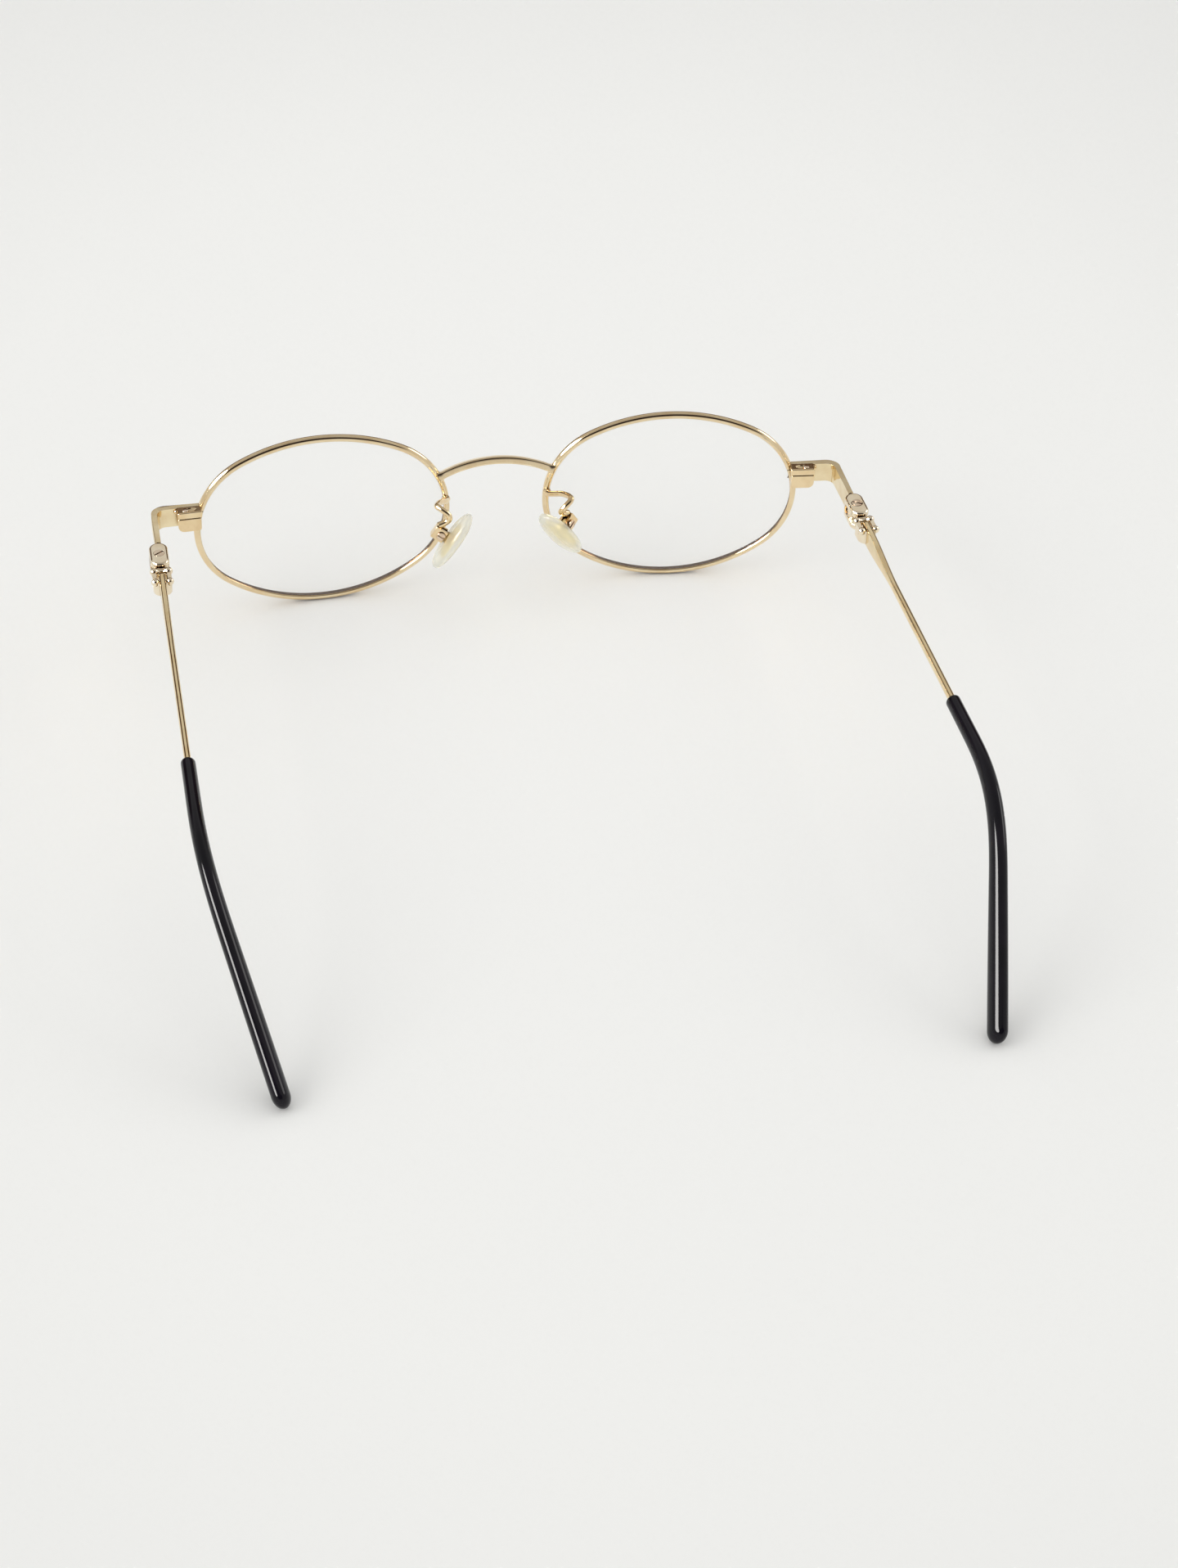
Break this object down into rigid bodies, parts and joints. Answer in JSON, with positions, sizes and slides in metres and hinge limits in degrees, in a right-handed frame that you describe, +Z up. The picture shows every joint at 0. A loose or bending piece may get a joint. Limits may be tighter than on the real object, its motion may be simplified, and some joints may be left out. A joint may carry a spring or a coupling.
{
  "type": "oval metal eyeglasses",
  "caption": "Full-rim oval metal eyeglasses with an arched bridge, adjustable nose pads, a chain-link ornament at each hinge and folding temples with black sleeved tips.",
  "frame": {"origin": "on the floor under the folded-open glasses, on the plane of symmetry of the front, on the line where the two rims touch the floor", "axes": "+Z up from the floor, the front faces -Y, the temples run to +Y, +X is the wearer's left"},
  "size_m": [0.1417, 0.1407, 0.036],
  "materials": {
    "frame_metal": "polished pale champagne gold plating",
    "lock_metal": "satin gold plating",
    "hinge_metal": "polished pale gold plating",
    "temple_metal": "polished gold plating",
    "screw_metal": "turned, gold plated",
    "pad_metal": "pressed yellow metal",
    "sleeve_black": "glossy black",
    "pad_clear": "clear, slightly yellow",
    "lens_clear": "clear, polished"
  },
  "bodies": {
    "front": {"bridge": "frame_metal", "rim_left": "frame_metal", "rim_right": "frame_metal", "lens_left": "lens_clear", "lens_right": "lens_clear", "rim_lock_lower_left": "lock_metal", "rim_lock_lower_right": "lock_metal", "rim_lock_upper_left": "lock_metal", "rim_lock_upper_right": "lock_metal", "rim_screw_left": "screw_metal", "rim_screw_right": "screw_metal", "end_piece_left": "frame_metal", "end_piece_right": "frame_metal", "hinge_body_left": "hinge_metal", "hinge_body_right": "hinge_metal", "hinge_screw_left": "screw_metal", "hinge_screw_right": "screw_metal", "pad_arm_left": "lock_metal", "pad_arm_right": "lock_metal", "pad_box_left": "lock_metal", "pad_box_right": "lock_metal", "pad_screw_left": "screw_metal", "pad_screw_right": "screw_metal"},
    "temple_left": {"hinge_link_left": "hinge_metal", "link_pin_left": "hinge_metal", "link_beads_left": "hinge_metal", "temple_left": "temple_metal", "temple_tip_left": "sleeve_black"},
    "temple_right": {"hinge_link_right": "hinge_metal", "link_pin_right": "hinge_metal", "link_beads_right": "hinge_metal", "temple_right": "temple_metal", "temple_tip_right": "sleeve_black"},
    "pad_left": {"nose_pad_left": "pad_clear", "pad_core_left": "pad_metal"},
    "pad_right": {"nose_pad_right": "pad_clear", "pad_core_right": "pad_metal"}
  },
  "joints": [
    {"name": "temple_fold_left", "type": "hinge", "parent": "front", "child": "temple_left", "pos_m": [0.06548, 0.01503, 0.02325], "axis": [0, -0.0286, 0.9996], "range_deg": [0, 90]},
    {"name": "temple_fold_right", "type": "hinge", "parent": "front", "child": "temple_right", "pos_m": [-0.06684, 0.01499, 0.02324], "axis": [0, 0.0286, -0.9996], "range_deg": [0, 88]},
    {"name": "pad_rock_left", "type": "hinge", "parent": "front", "child": "pad_left", "pos_m": [0.01177, 0.00672, 0.01867], "axis": [0.1382, 0.9661, 0.2178], "range_deg": [-10, 10]},
    {"name": "pad_rock_right", "type": "hinge", "parent": "front", "child": "pad_right", "pos_m": [-0.01256, 0.00579, 0.01858], "axis": [0.638, -0.7447, -0.196], "range_deg": [-10, 10]}
  ]
}
